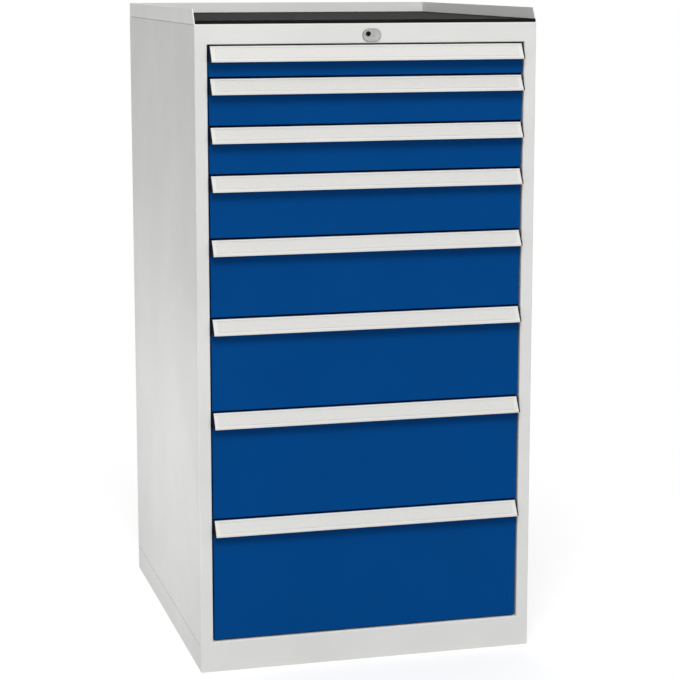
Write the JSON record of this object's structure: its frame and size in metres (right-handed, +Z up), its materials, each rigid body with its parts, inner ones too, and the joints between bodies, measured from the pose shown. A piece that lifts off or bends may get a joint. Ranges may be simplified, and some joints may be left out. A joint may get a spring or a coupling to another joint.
{
  "type": "multi-drawer workshop cabinet",
  "caption": "Floor-standing steel workshop cabinet with full-width blue drawers on telescopic runners, sloping grip strips, a central lock and a rimmed top with a rubber mat.",
  "frame": {"origin": "on the floor, under the middle of the whole cabinet", "axes": "+Z up, -Y out of the front where the drawers open, +X to the right seen from the front"},
  "size_m": [0.555, 0.622, 1.056],
  "materials": {
    "light_grey_paint": "satin",
    "blue_paint": "satin",
    "tray_paint": "satin",
    "grip_coat": "satin",
    "zinc_steel": "satin",
    "nickel": "polished",
    "black_rubber": "matt",
    "black_plastic": "matt"
  },
  "bodies": {
    "root": {"side_panel_left": "light_grey_paint", "side_panel_right": "light_grey_paint", "back_panel": "light_grey_paint", "top_panel": "light_grey_paint", "base_plinth": "light_grey_paint", "bottom_rail": "light_grey_paint", "lock_rail": "light_grey_paint", "top_tray": "light_grey_paint", "top_mat": "black_rubber", "slotted_uprights": "zinc_steel", "runners_outer": "zinc_steel", "lock_housing": "nickel", "lock_clip": "zinc_steel", "shaft_bearing": "zinc_steel", "bar_guides": "black_plastic"},
    "lock": {"lock_cylinder": "nickel", "lock_shaft": "zinc_steel", "lock_crank": "zinc_steel"},
    "locking_bar": {"locking_bar": "zinc_steel"},
    "drawer_1": {"drawer_1_tray": "tray_paint", "drawer_1_front": "blue_paint", "drawer_1_handle": "grip_coat", "drawer_1_end_caps": "black_plastic"},
    "runner_1": {"runner_1_middle": "zinc_steel"},
    "drawer_2": {"drawer_2_tray": "tray_paint", "drawer_2_front": "blue_paint", "drawer_2_handle": "grip_coat", "drawer_2_end_caps": "black_plastic"},
    "runner_2": {"runner_2_middle": "zinc_steel"},
    "drawer_3": {"drawer_3_tray": "tray_paint", "drawer_3_front": "blue_paint", "drawer_3_handle": "grip_coat", "drawer_3_end_caps": "black_plastic"},
    "runner_3": {"runner_3_middle": "zinc_steel"},
    "drawer_4": {"drawer_4_tray": "tray_paint", "drawer_4_front": "blue_paint", "drawer_4_handle": "grip_coat", "drawer_4_end_caps": "black_plastic"},
    "runner_4": {"runner_4_middle": "zinc_steel"},
    "drawer_5": {"drawer_5_tray": "tray_paint", "drawer_5_front": "blue_paint", "drawer_5_handle": "grip_coat", "drawer_5_end_caps": "black_plastic"},
    "runner_5": {"runner_5_middle": "zinc_steel"},
    "drawer_6": {"drawer_6_tray": "tray_paint", "drawer_6_front": "blue_paint", "drawer_6_handle": "grip_coat", "drawer_6_end_caps": "black_plastic"},
    "runner_6": {"runner_6_middle": "zinc_steel"},
    "drawer_7": {"drawer_7_tray": "tray_paint", "drawer_7_front": "blue_paint", "drawer_7_handle": "grip_coat", "drawer_7_end_caps": "black_plastic"},
    "runner_7": {"runner_7_middle": "zinc_steel"},
    "drawer_8": {"drawer_8_tray": "tray_paint", "drawer_8_front": "blue_paint", "drawer_8_handle": "grip_coat", "drawer_8_end_caps": "black_plastic"},
    "runner_8": {"runner_8_middle": "zinc_steel"}
  },
  "joints": [
    {"name": "drawer_1_slide", "type": "slide", "parent": "root", "child": "drawer_1", "axis": [0, -1, 0], "range_m": [0, 0.53]},
    {"name": "runner_1_slide", "type": "slide", "parent": "root", "child": "runner_1", "axis": [0, -1, 0], "range_m": [0, 0.265]},
    {"name": "drawer_2_slide", "type": "slide", "parent": "root", "child": "drawer_2", "axis": [0, -1, 0], "range_m": [0, 0.53]},
    {"name": "runner_2_slide", "type": "slide", "parent": "root", "child": "runner_2", "axis": [0, -1, 0], "range_m": [0, 0.265]},
    {"name": "drawer_3_slide", "type": "slide", "parent": "root", "child": "drawer_3", "axis": [0, -1, 0], "range_m": [0, 0.53]},
    {"name": "runner_3_slide", "type": "slide", "parent": "root", "child": "runner_3", "axis": [0, -1, 0], "range_m": [0, 0.265]},
    {"name": "drawer_4_slide", "type": "slide", "parent": "root", "child": "drawer_4", "axis": [0, -1, 0], "range_m": [0, 0.53]},
    {"name": "runner_4_slide", "type": "slide", "parent": "root", "child": "runner_4", "axis": [0, -1, 0], "range_m": [0, 0.265]},
    {"name": "drawer_5_slide", "type": "slide", "parent": "root", "child": "drawer_5", "axis": [0, -1, 0], "range_m": [0, 0.53]},
    {"name": "runner_5_slide", "type": "slide", "parent": "root", "child": "runner_5", "axis": [0, -1, 0], "range_m": [0, 0.265]},
    {"name": "drawer_6_slide", "type": "slide", "parent": "root", "child": "drawer_6", "axis": [0, -1, 0], "range_m": [0, 0.53]},
    {"name": "runner_6_slide", "type": "slide", "parent": "root", "child": "runner_6", "axis": [0, -1, 0], "range_m": [0, 0.265]},
    {"name": "drawer_7_slide", "type": "slide", "parent": "root", "child": "drawer_7", "axis": [0, -1, 0], "range_m": [0, 0.53]},
    {"name": "runner_7_slide", "type": "slide", "parent": "root", "child": "runner_7", "axis": [0, -1, 0], "range_m": [0, 0.265]},
    {"name": "drawer_8_slide", "type": "slide", "parent": "root", "child": "drawer_8", "axis": [0, -1, 0], "range_m": [0, 0.53]},
    {"name": "runner_8_slide", "type": "slide", "parent": "root", "child": "runner_8", "axis": [0, -1, 0], "range_m": [0, 0.265]},
    {"name": "bar_slide", "type": "slide", "parent": "root", "child": "locking_bar", "axis": [0, 0, 1], "range_m": [-0.01273, 0]},
    {"name": "lock_turn", "type": "hinge", "parent": "root", "child": "lock", "pos_m": [-0.002, -0.299, 1.01675], "axis": [0, 1, 0], "range_deg": [0, 90]}
  ],
  "couplings": [
    {"joint": "runner_1_slide", "follows": "drawer_1_slide", "ratio": 0.5},
    {"joint": "runner_2_slide", "follows": "drawer_2_slide", "ratio": 0.5},
    {"joint": "runner_3_slide", "follows": "drawer_3_slide", "ratio": 0.5},
    {"joint": "runner_4_slide", "follows": "drawer_4_slide", "ratio": 0.5},
    {"joint": "runner_5_slide", "follows": "drawer_5_slide", "ratio": 0.5},
    {"joint": "runner_6_slide", "follows": "drawer_6_slide", "ratio": 0.5},
    {"joint": "runner_7_slide", "follows": "drawer_7_slide", "ratio": 0.5},
    {"joint": "runner_8_slide", "follows": "drawer_8_slide", "ratio": 0.5},
    {"joint": "lock_turn", "follows": "bar_slide", "rad_per_m": -123.41}
  ]
}
